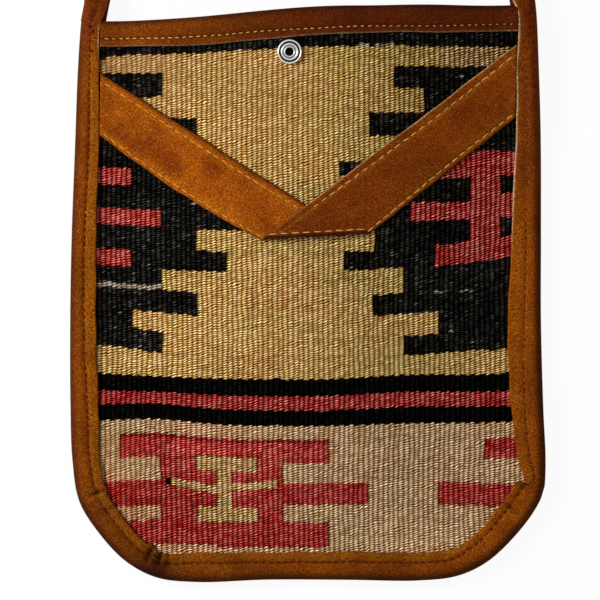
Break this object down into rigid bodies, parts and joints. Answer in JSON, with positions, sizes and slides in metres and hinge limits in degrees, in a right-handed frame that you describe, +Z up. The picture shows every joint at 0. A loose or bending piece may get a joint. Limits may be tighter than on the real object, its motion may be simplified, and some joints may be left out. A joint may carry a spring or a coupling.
{
  "type": "kilim crossbody bag",
  "caption": "Flat crossbody bag of kilim weave with folded leather edge binding, a leather V band, a press stud at the mouth and a leather shoulder strap.",
  "frame": {"origin": "middle of the bag's underside as it lies on its back, at floor height, the strap left out", "axes": "+X to the right of the front, +Y towards the mouth, +Z up out of the front"},
  "size_m": [0.2372, 0.6102, 0.0233],
  "materials": {
    "kilim": "flat-woven wool in black, brick red, tan and beige",
    "leather": "matt brown leather with a worn nap",
    "cotton": "plain undyed cotton",
    "press_stud": "bright nickel plate with dark grooves"
  },
  "bodies": {
    "root": {"front_panel": "kilim", "back_panel": "kilim", "front_lining": "cotton", "back_lining": "cotton", "front_top_binding": "leather", "back_top_binding": "leather", "v_band_left": "leather", "v_band_right": "leather", "edge_binding": "leather", "shoulder_strap": "leather", "snap_eyelet": "press_stud", "snap_stud": "press_stud", "snap_socket": "press_stud", "snap_cap": "press_stud"}
  },
  "joints": []
}
